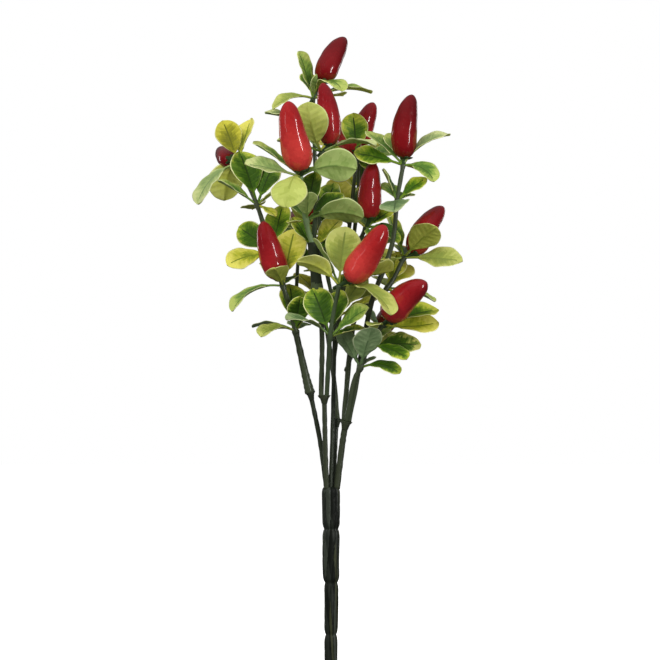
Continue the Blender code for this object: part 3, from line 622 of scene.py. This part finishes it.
def limb_radius(path, foot, tip, swells, phase):
    """Radii of a limb's rings: an even taper, a bulge at each whorl, two seams, shallow flutes.

    A bulge is a bell curve of the distance to the whorl, the seams are a steep cosine of twice
    the angle, and the flutes are a cosine of five times the angle that turns up the limb.
    """
    rise = np.linspace(0, 1, len(path))[:, None]
    angle = ring_angles(LIMB_SIDES)
    bulge = 0
    for whorl in swells:
        away = np.linalg.norm(path - np.array(whorl), axis=1)[:, None]
        bulge = bulge + 0.42 * np.exp(-(away / 1.7) ** 2)
    knots = 0.05 * np.sin(2 * np.pi * rise * 7 + phase) + 0.04 * np.sin(rise * 61 + 2 * phase)
    seams = 0.07 * np.cos(angle + phase) ** 8
    flutes = 0.04 * np.cos(5 * angle + 6 * rise + phase)
    return (foot + (tip - foot) * rise) * (1 + bulge + knots + seams + flutes)


def vein_rows():
    """Shares along the midrib where rows of a blade leave it, and which gaps hold a vein."""
    first, last = STALK_SHARE + 0.05, 0.90
    starts = first + (last - first) * np.arange(VEIN_PAIRS) / VEIN_PAIRS
    step = (last - first) / VEIN_PAIRS
    rest = step - VEIN_WIDE
    inner = starts[:, None] + np.array((0, VEIN_WIDE, VEIN_WIDE + rest / 3,
                                        VEIN_WIDE + rest * 2 / 3))
    rows = np.concatenate(((0, 0.07, 0.14, 0.2, STALK_SHARE), inner.ravel(),
                           (last, 0.935, 0.965, 0.985, 1.0)))
    is_vein = np.zeros(len(rows) - 1, bool)
    is_vein[5 + 4 * np.arange(VEIN_PAIRS)] = True
    return rows, is_vein


def add_leaf(shells, leaf, upper, under, ripeness, blush, draw):
    """A leaf: two sheets over one slanting grid that share their edge.

    A row leaves the midrib at share s and runs forward as it goes out, to share s plus a
    slant that is largest halfway. Across it the columns stand at the midrib, its edge,
    four uneven places on the blade, and the rim. The lift is a cup that grows with the
    square of the way out, a wave on the rim, and pillows between the veins. A quarter circle
    closes the tip. The paint turns from heart to margin with the way out and the way along,
    plus two slanting waves, and darkens over the blade's lower half: partly the leaf's own
    dark heart, partly painted shade of the whorl's hollow.
    """
    length, cup = leaf[4], leaf[6]
    rows, is_vein = vein_rows()
    count = len(rows)
    past = np.clip((rows - STALK_SHARE) / (1 - STALK_SHARE), 0, 1)
    slant = SLANT * np.sin(np.pi * past)
    sides = []
    for way in (-1, 1):
        ragged = 0.62 + 0.16 * (draw.random(count) - 0.5)
        half = np.stack((np.full(count, 0.055), 0.45 * ragged, 0.8 * ragged, ragged,
                         (ragged + 0.93) / 2, np.full(count, 0.93), np.ones(count)), axis=1)
        sides.append(half[:, ::-1] * way if way < 0 else half * way)
    out = np.concatenate((sides[0], np.zeros((count, 1)), sides[1]), axis=1)
    columns = out.shape[1]
    far = np.abs(out)
    t = np.clip(rows[:, None] + slant[:, None] * far, 0, 1)
    spine, across, face = midrib(leaf, t)
    close = np.sqrt(1 - np.clip((t - 1 + TIP_CLOSE) / TIP_CLOSE, 0, 0.999) ** 2)
    wide = half_width(t, length) * close
    blade = np.clip((t - STALK_SHARE) / 0.12, 0, 1)
    phase = draw.random(4) * 2 * np.pi
    gap = (rows - rows[5]) / (rows[9] - rows[5])
    pillow = np.abs(np.sin(np.pi * np.clip(gap, 0, VEIN_PAIRS)))[:, None] ** 0.7
    wave = (np.sin(2 * np.pi * 1.6 * t + phase[0] + 1.3 * np.sign(out))
            + 0.5 * np.sin(2 * np.pi * 3.7 * t + phase[1] * np.sign(out)))
    lift = (cup * wide * far ** 2 + RIM_WAVE * length * wave * far ** 3 * blade
            + blade * PILLOW * pillow * np.sin(np.pi * np.clip(far, 0, 1)) ** 0.8
            - blade * GROOVE * np.exp(-(far / 0.09) ** 2))
    thick = BLADE_THICK + (STALK_THICK - BLADE_THICK) * (1 - blade)
    edge = np.sqrt(np.clip(1 - ((far - 0.86) / 0.14).clip(0) ** 2, 0, 1))
    ridge = RIDGE * blade * np.exp(-(far / 0.06) ** 2)
    middle = spine + across * (wide * out)[..., None]
    sheets = [middle + face * (lift + 0.5 * thick * edge)[..., None],
              middle + face * (lift - 0.5 * thick * edge - ridge)[..., None]]
    number = np.arange(count * columns).reshape(count, columns)
    below = number.copy()
    inner = (count - 2) * (columns - 2)
    below[1:-1, 1:-1] = count * columns + np.arange(inner).reshape(count - 2, columns - 2)
    points = np.concatenate((sheets[0].reshape(-1, 3), sheets[1][1:-1, 1:-1].reshape(-1, 3)))
    spot = (far[:-1, :-1] + far[1:, 1:]) / 2
    along = np.broadcast_to((past[:-1, None] + past[1:, None]) / 2, spot.shape)
    way = np.sign(out[:-1, :-1] + out[1:, 1:]) * spot
    cloud = (0.16 * np.sin(8 * along + 3 * way + phase[2]) + 0.12 * np.sin(17 * along - 7 * way
             + phase[3]) + 0.1 * (draw.random(spot.shape) - 0.5))
    between = np.cos(2 * np.pi * (gap[:-1] + gap[1:]) / 2)[:, None]
    feather = -0.13 * between * np.sin(np.pi * np.clip(spot, 0, 1)) * (along < 0.93)
    # The minus term darkens the blade's lower half: the leaf's own dark heart, deepened by painted shade
    # of the whorl's hollow.
    turn = (ripeness + 0.85 * spot ** 1.6 + 0.95 * np.clip((along - 0.4) / 0.6, 0, 1) ** 1.5
            - 0.3 * np.clip(1 - along / 0.5, 0, 1) + cloud + feather)
    step = 1 + np.floor(np.clip(turn, 0, 0.999) * UPPER_STEPS).astype(int)
    on_vein = is_vein[:, None] & (spot < 0.8)
    step = np.where(on_vein & (step <= 4), step + 1, step)
    step[5:-4, (6, 7)] = 0
    step[:, (0, -1)] = UPPER_STEPS + 1
    step[:5] = 3
    colours = upper + step
    if blush is not None:
        patch = (along > 0.86) & (draw.random(spot.shape) > 0.35)
        colours = np.where(patch, blush, colours)
    pale = np.clip(0.15 + 0.45 * spot + 0.35 * along + cloud, 0, 0.999)
    low = 1 + np.floor(pale * UNDER_STEPS).astype(int)
    low[:20, (6, 7)] = 0
    low[:, (0, -1)] = UNDER_STEPS + 1
    low[:5] = 0
    shells.add(points, np.concatenate((grid_faces(number), grid_faces(below)[:, ::-1])),
               np.concatenate((colours.ravel(), (under + low).ravel())))


def grid_faces(number):
    """Four-cornered faces of an open grid of numbered points."""
    return np.stack((number[:-1, :-1], number[1:, :-1], number[1:, 1:], number[:-1, 1:]),
                    axis=-1).reshape(-1, 4)


def add_chilli(shells, chilli, first_paint, number):
    """A chilli: rings of the source's radius along its bowed axis, with faint lobes and dents.

    The lobes are a cosine of three times the angle, and the dents a product of sines of the
    angle and of the share from base to tip. The paint is lightest a quarter of the way up, by
    a bell curve, as a painted broad sheen, darker towards the tip as painted shade, and drifts
    with the angle.
    """
    rows = (1 - np.cos(np.pi * np.linspace(0.035, 0.975, CHILLI_ROWS))) / 2
    path = chilli_axis(chilli, np.concatenate(([0], rows, [1])))
    profile = chilli_radius(rows, chilli[2])
    angle = ring_angles(CHILLI_COLUMNS)
    lobes = 0.024 * np.cos(3 * angle + number)
    dents = (0.026 * np.sin(2 * angle + 1.7 * number) * np.sin(9 * rows + number)[:, None]
             + 0.011 * np.sin(26 * rows[:, None] + 3 * angle + number))
    ring = profile[:, None] * (1 + lobes + dents)
    height = (rows[:-1, None] + rows[1:, None]) / 2
    # Painted light: a broad painted sheen a quarter of the way up, painted shade towards the tip.
    painted_light = (0.26 + 0.56 * np.exp(-((height - SHEEN_SHARE) / 0.36) ** 2)
            + 0.1 * np.sin(2 * angle + 4 * height + number))
    zones = first_paint + np.floor(np.clip(painted_light, 0, 0.999) * RED_STEPS).astype(int)
    add_limb(shells, path, ring, zones.ravel(), first_paint)


def add_calyx(shells, root, chilli, zone):
    """A peg from the whorl up to its chilli, that flares into a small five-lobed cup."""
    base, tip, radius, _ = chilli
    start, end = np.array(root, float), np.array(base, float)
    axis = unit(np.array(tip, float) - end)
    rise = np.array((-0.6, 0, 0.5, 0.9, 1.0))[:, None]
    cup = np.array((0.25, 0.7, 1.2, 1.5))[:, None]
    path = np.concatenate((start + (end - start) * rise, end + axis * cup))
    lobe = 1 + 0.2 * np.cos(5 * ring_angles(CALYX_SIDES))
    flare = np.array((1.1, 1.15, 1.2, 1.5, 2.2, 2.9, 3.6, 3.9, 2.2))[:, None]
    add_limb(shells, path, np.where(flare > 2, flare * lobe * radius / 8, flare), zone)


def add_collar(shells, path, radius, flare, zone):
    """A moulded joint: a flared ring with rolled lips at a bough's tip, and two barbs."""
    top = path[-1]
    axis = unit(top - path[-2])
    side = unit(np.cross(axis, (0, 1, 0)))
    rise = np.array((-5.0, -4.4, -3.4, -2.6, -1.8, -1.2, -0.9, -0.5, -0.2, 0.0, 0.15))
    share = np.array((0.02, 0.2, 0.34, 0.5, 0.66, 0.84, 0.8, 0.9, 1.0, 1.0, 0.8))
    ring = radius * 1.02 + (flare - radius) * share
    angle = ring_angles(LIMB_SIDES)
    uneven = 1 + 0.05 * np.cos(2 * angle + flare) + 0.03 * np.cos(5 * angle)
    add_limb(shells, top + axis * rise[:, None], ring[:, None] * uneven, zone)
    for way in (1, -1):
        foot = top - axis * 1.2 + side * way * (flare - 1.2)
        point = top + side * way * (flare + 0.5)
        spots = foot + (point - foot) * np.linspace(0, 1, 6)[:, None]
        thin = np.linspace(1, 0, 6) ** 0.8 * 0.7 + 0.2
        add_limb(shells, spots, np.tile(thin[:, None], (1, BARB_SIDES)), zone)


def bundle_profile(z):
    """The bundle's radius at heights z: swellings with steep shoulders and narrow pinches.

    Within a shoulder of either end a swelling falls to the pinch there, by a quarter circle
    of the distance. It also narrows towards its lower end, by a square.
    """
    radii = [radius for _, _, radius in SWELLINGS]
    pinches = [FOOT_PINCH * radii[0],
               *(PINCH * (lower + upper) / 2 for lower, upper in zip(radii, radii[1:])),
               TOP_PINCH * radii[-1]]
    made = np.zeros_like(z)
    for (low, high, radius), *ends in zip(SWELLINGS, pinches, pinches[1:]):
        swell = radius
        for pinch, away in zip(ends, (z - low, high - z)):
            short = np.clip(1 - away / (1.5 * SHOULDER * (high - low)), 0, 1)
            swell = swell - (radius - pinch) * (1 - np.sqrt(1 - short ** 2))
        swell = swell * (1.02 - 0.07 * ((high - z) / (high - low)) ** 2)
        made = np.where((z >= low) & (z <= high), swell, made)
    return made


def add_bundle(shells):
    """The gathered stems: the profile's rings with strands that lean and uneven notches.

    A strand is a rounded scallop of the angle and takes one of the dark paints by its own
    number, side and height. Strands at the left and right take the lighter green as painted
    reflection of the white surroundings, those at the front and back the darker paints as
    painted shade, and its clefts the darkest, as painted shade. Some strands at the right, a
    little towards the front, take the olive. The notches are a product of three sines.
    """
    z = np.linspace(0, BUNDLE_TOP, BUNDLE_ROWS)
    angle = ring_angles(BUNDLE_SIDES)
    lean = 0.5 * np.sin(z / 23)[:, None]
    strand = STRANDS * (angle + lean) / 2
    scallop = np.abs(np.sin(strand)) ** 0.7
    wide = np.sin(2 * angle + z[:, None] / 31) * np.sin(3 * angle - z[:, None] / 11)
    notch = np.clip(np.sin(z[:, None] * 0.71 + 3 * np.sin(angle * 2)) * np.sin(5 * angle + 1), 0, 1)
    ring = bundle_profile(z)[:, None] * (0.95 + 0.1 * (scallop - 0.6) + 0.045 * wide
                                         - 0.06 * notch ** 4)
    path = np.stack((0 * z, 0 * z, z), axis=1)
    number = np.floor(strand / np.pi)
    turned = (number + 0.5) * 2 * np.pi / STRANDS
    # Painted reflection: strands at the left and right take the lighter green. Painted shade: strands at
    # the front and back take the darker paints, and the clefts the darkest.
    tint = (0.8 * np.cos(2 * turned) + 0.5 * np.sin(number * 2.4 + 0.02 * z[:, None])
            + 0.4 * np.sin(z[:, None] / 7 + 4 * angle))
    zones = np.where(tint > 0.5, 2, np.where(tint > -0.7, 3, 0))
    olive_side = np.cos(turned + 0.3) + 0.5 * np.sin(z[:, None] / 11 + 5 * angle)
    zones = np.where(olive_side > 1.05, 1, zones)
    zones = np.where(np.abs(np.sin(strand)) < 0.2, 0, zones)[:-1]
    add_limb(shells, path, ring, zones.ravel(), 3)


# How often a leaf without a place takes each palette, in the palettes' order.
UPPER_ODDS = (0.25, 0.21, 0.16, 0.12, 0.06, 0.06, 0.06, 0.04, 0.04)
UNDER_ODDS = (0.28, 0.2, 0.16, 0.24, 0.08, 0.04)


def dealt_palette(number, turn, draw):
    """A leaf's paints: those its place asks for, or a draw by the odds."""
    placed = PLACED_PAINTS.get(number, "any").split(", ")
    if turn < len(placed) and placed[turn] != "any":
        return placed[turn].split()
    upper = draw.choice(tuple(UPPER_PAINTS), p=UPPER_ODDS)
    under = draw.choice(tuple(UNDER_PAINTS), p=UNDER_ODDS)
    return str(upper), str(under)


# The upper and under paints of leaves that have a place, by whorl, in its leaves' order.
# Those left out, or said any, are drawn.
# Whorl 4's last leaf and whorl 11's first take the bright underside, painted light on undersides that
# lie in shade.
PLACED_PAINTS = {
    0: "deep olive, deep dusk, mellow olive, vivid olive, grey sage",
    1: "fresh sage, fresh olive, yellow gold",
    2: "deep olive, yellow gold, vivid olive",
    3: "deep olive, deep sage, fresh lime, fresh sage, any, yellow gold",
    4: "mustard gold, yellow gold, pale sage, yellow bright",
    5: "any, any, mellow gold",
    6: "yellow gold, deep sage, vivid lime",
    7: "fresh sage, deep dusk, deep sage, any, fresh lime, deep sage",
    8: "fresh lime, fresh sage, pale lime, fresh sage",
    9: "fresh lime, pale sage, fresh sage",
    10: "deep olive, deep sage, fresh sage, grey sage, vivid olive",
    11: "fresh bright, fresh sage, mellow olive, fresh olive, mellow olive",
    12: "mellow olive, deep olive, any, yellow gold",
    13: "deep sage, any, vivid olive",
    14: "deep olive, vivid olive, any, fresh sage",
    15: "vivid olive, fresh sage",
    16: "yellow gold, deep olive",
    17: "pale sage",
    18: "fresh lime, deep sage, fresh lime, fresh lime, mellow olive, any, fresh lime",
    19: "grey dusk, deep olive, deep dusk",
    20: "tipped olive, deep olive",
    21: "vivid olive, yellow gold, fresh olive",
    22: "yellow olive, deep sage",
    23: "vivid sage, deep sage, any, grey dusk",
    24: "vivid olive, fresh sage, fresh lime, pale lime, fresh olive",
    25: "yellow olive, yellow gold, fresh sage",
    26: "vivid olive, yellow olive, mellow gold, fresh lime",
}


def dress_leaves():
    """Each sprig's leaves as one piece."""
    finishes, start = leaf_finishes()
    piles = {}
    for sprig, leaf, number, turn in grow_leaves():
        draw = np.random.default_rng((SEED, number, turn))
        upper, under = dealt_palette(number, turn, draw)
        blush = start["blush"] if draw.random() < 0.05 else None
        add_leaf(piles.setdefault(sprig, Shells()), leaf, start["upper", upper],
                 start["under", under], RIPENESS[upper] + draw.uniform(-0.08, 0.08), blush,
                 draw)
    for sprig, pile in piles.items():
        pile.piece(sprig.replace("sprig", "leaves"), finishes, [sprig], "foliage")


# Finishes by name, with paint, least and most roughness, grain, relief and maybe gloss.
BUNDLE_FINISHES = (
    # The cleft paint is painted shade and the lighter green is painted reflection, dealt by side in
    # add_bundle.
    ("stem cleft painted shade", (16, 20, 14), 0.5, 0.7, 1.6, 0.2, 0.3),
    ("stem olive", (56, 60, 36), 0.4, 0.6, 1.6, 0.2),
    ("stem painted sheen green", (54, 60, 50), 0.4, 0.6, 1.6, 0.25),
    ("stem near black", (32, 37, 29), 0.4, 0.6, 1.6, 0.25),
)
BOUGH_FINISHES = (
    ("bough green", (48, 55, 41), 0.35, 0.55, 1.3, 0.2),
    ("bough olive green", (56, 62, 44), 0.35, 0.55, 1.3, 0.2),
)
TWIG_FINISHES = (
    ("twig green", (65, 74, 52), 0.32, 0.5, 1.2, 0.15),
    ("twig fresh green", (70, 84, 58), 0.32, 0.5, 1.2, 0.12),
    ("twig grey green", (122, 148, 102), 0.3, 0.48, 1.2, 0.12),
    ("sleeve", (46, 54, 38), 0.6, 0.8, 1.0, 0.15),
    ("sleeve cuff", (78, 90, 60), 0.5, 0.7, 1.0, 0.15),
    ("calyx green", (44, 66, 34), 0.35, 0.5, 1.0, 0.12),
)


def dress_limbs():
    """Bundle, boughs with collars, twigs with their whorl swellings, pegs and the sleeve."""
    pile = Shells()
    add_bundle(pile)
    finishes = [moulded(*finish) for finish in BUNDLE_FINISHES]
    pile.piece("stem_bundle", finishes, ["main_stem"], "stem")

    pile = Shells()
    for number, (radius, flare, points) in enumerate(BOUGHS.values()):
        path = lengthened(fine_path(points), OVERLAP, 0.2)
        zone = BOUGH_PAINTS[number]
        add_limb(pile, path, limb_radius(path, radius, BOUGH_TAPER * radius, (), number), zone)
        if flare:
            add_collar(pile, path[:-1], radius, flare, zone)
    finishes = [moulded(*finish) for finish in BOUGH_FINISHES]
    pile.piece("boughs", finishes, list(BOUGHS), "stem")

    finishes = [moulded(*finish) for finish in TWIG_FINISHES]
    for number, (name, stems) in enumerate(STEMS.items()):
        pile = Shells()
        swells = [place for place, *_ in WHORLS[name]]
        for part, (foot, tip, *points) in enumerate(stems):
            path = lengthened(fine_path(points), OVERLAP, 0.3)
            zone = LIMB_PAINTS.get((name, part), 0)
            if zone == SLEEVE:
                add_limb(pile, path, limb_radius(path, foot, tip, (), number), zone)
                cuffed = path[0] + (path[-1] - path[0]) * np.linspace(0, 0.17, 6)[:, None]
                bell = foot + 0.15 + np.array((0.1, 0.35, 0.3, 0.2, 0.1, 0.02))[:, None]
                add_limb(pile, cuffed, np.tile(bell, (1, CUFF_SIDES)), CUFF)
            else:
                add_limb(pile, path, limb_radius(path, foot, tip, swells, number + part), zone)
        for whorl, *chilli in CHILLIES:
            sprig, root = WHORL_LIST[whorl][:2]
            if sprig == name:
                add_calyx(pile, root, chilli, CALYX)
        pile.piece(name.replace("sprig", "twigs"), finishes, [name], "foliage")


# Which of its two greens each bough takes.
BOUGH_PAINTS = (0, 1, 0, 1, 0)

# The finish of each limb that isn't plain twig green, by its sprig and its number there.
FRESH, GREY, SLEEVE, CUFF, CALYX = 1, 2, 3, 4, 5
LIMB_PAINTS = {
    ("sprig_front_left", 1): SLEEVE, ("sprig_front_left", 2): GREY,
    ("sprig_front_left", 3): FRESH, ("sprig_front", 0): FRESH, ("sprig_centre", 1): FRESH,
}

# The reds: each from its darkest to its lightest; a chilli's painted shade and painted sheen are picked
# among them.
CHILLI_PAINTS = {
    "crimson": ((120, 12, 20), (172, 37, 41)),
    "scarlet": ((146, 19, 23), (208, 63, 58)),
    "blood": ((92, 6, 12), (130, 16, 22)),
}
RED_STEPS = 8

# Which red each chilli takes.
CHILLI_REDS = (0, 2, 2, 1, 0, 1, 0, 0, 2, 2, 0, 0, 2, 0, 2)


def dress_chillies():
    """All chillies as one piece, each in its own red."""
    reds = [moulded(f"chilli {name} {number}", paint, 0.24, 0.38, 2.4, 0.5, 0.1, 0.8, 0.07)
            for name, ends in CHILLI_PAINTS.items()
            for number, paint in enumerate(blend_of(ends, RED_STEPS))]
    pile = Shells()
    for number, (_, *chilli) in enumerate(CHILLIES):
        add_chilli(pile, chilli, CHILLI_REDS[number] * RED_STEPS, number)
    pile.piece("chillies", reds, list(STEMS), "foliage")


# The lamps, in metres and watts: the soft ones by name, place and power, the strips by
# heading and power. GLOSSY_DIM is the share of the sky that reflections lose.
LAMP_AIM = (0, 0, 0.22)
SOFT_SIZE = (0.8, 0.6)
SOFT_LAMPS = (("key", (-0.5, -1.0, 0.85), 9.5), ("fill", (0.45, 1.0, 0.7), 4))
STRIP_SIZE, STRIP_AWAY, STRIP_HEIGHT = (0.06, 0.3), 0.75, 0.3
STRIPS = ((312, 1.7), (215, 0.15), (50, 0.35), (140, 0.5))
GLOSSY_DIM = 0.68


def softbox(name, size, place, power):
    """A flat rectangular lamp that shines from its place at the aim."""
    lamp = bpy.data.lights.new(name, "AREA")
    lamp.shape = "RECTANGLE"
    lamp.size, lamp.size_y = size
    lamp.energy = power
    made = stand(name, lamp)
    made.location = place
    made.rotation_mode = "QUATERNION"
    made.rotation_quaternion = (Vector(LAMP_AIM) - Vector(place)).to_track_quat("-Z", "Y")
    return made


def light_studio():
    """A white sky, brightest overhead, a soft key and fill, and tall strips for streaks.

    The sky's strength climbs with height and is lower for reflections; the camera sees white.
    """
    world = bpy.data.worlds.new("studio")
    bpy.context.scene.world = world
    world.use_nodes = True
    tree = world.node_tree
    tree.nodes.clear()
    place, split = shader_node(tree, "TexCoord"), shader_node(tree, "SeparateXYZ")
    climb = shader_node(tree, "MapRange", {"From Min": -0.1, "From Max": 0.9, "To Min": 0.22,
                                           "To Max": 1.1})
    climb.interpolation_type = "SMOOTHSTEP"
    path = shader_node(tree, "LightPath")
    dim = shader_node(tree, "Math", {1: -GLOSSY_DIM, 2: 1})
    dim.operation = "MULTIPLY_ADD"
    level = shader_node(tree, "Math")
    level.operation = "MULTIPLY"
    sky = shader_node(tree, "Background")
    white = shader_node(tree, "Background", {"Color": (1, 1, 1, 1)})
    pick, out = shader_node(tree, "MixShader"), shader_node(tree, "OutputWorld")
    wire(tree, (place, "Generated", split, "Vector"), (split, "Z", climb, "Value"),
         (path, "Is Glossy Ray", dim, 0), (climb, "Result", level, 0), (dim, "Value", level, 1),
         (level, "Value", sky, "Strength"), (path, "Is Camera Ray", pick, "Fac"),
         (sky, "Background", pick, 1), (white, "Background", pick, 2),
         (pick, "Shader", out, "Surface"))

    for name, place, power in SOFT_LAMPS:
        softbox(name, SOFT_SIZE, place, power).visible_glossy = False
    for number, (heading, power) in enumerate(STRIPS):
        turn = math.radians(heading)
        spot = (STRIP_AWAY * math.cos(turn), STRIP_AWAY * math.sin(turn), STRIP_HEIGHT)
        softbox(f"strip_{number}", STRIP_SIZE, spot, power)


def lay_floor():
    """A plain white floor, as white in front as behind."""
    half = 3.0
    corners = ((-half, -half, 0), (half, -half, 0), (half, half, 0), (-half, half, 0))
    mesh = bpy.data.meshes.new("floor")
    mesh.from_pydata(corners, [], [(0, 1, 2, 3)])
    white = bpy.data.materials.new("floor white")
    white.use_nodes = True
    tune(white.node_tree.nodes["Principled BSDF"], {
        "Base Color": (0.92, 0.92, 0.92, 1), "Roughness": 0.9, "Specular IOR Level": 0.1,
        "Emission Color": (1, 1, 1, 1), "Emission Strength": 0.45})
    mesh.materials.append(white)
    floor = stand("floor", mesh)
    floor.visible_diffuse = floor.visible_glossy = False


def set_camera():
    """A long lens, level, straight at the front."""
    lens = bpy.data.cameras.new("camera")
    lens.sensor_width = 36
    lens.lens = 169.3
    lens.clip_start, lens.clip_end = 0.1, 20
    camera = stand("camera", lens)
    camera.location = (-0.0006, -1.8, 0.2088)
    camera.rotation_euler = (math.pi / 2, 0, 0)
    bpy.context.scene.camera = camera


dress_leaves()
dress_limbs()
dress_chillies()
lay_floor()
light_studio()
set_camera()
bpy.context.scene.view_settings.view_transform = "Standard"
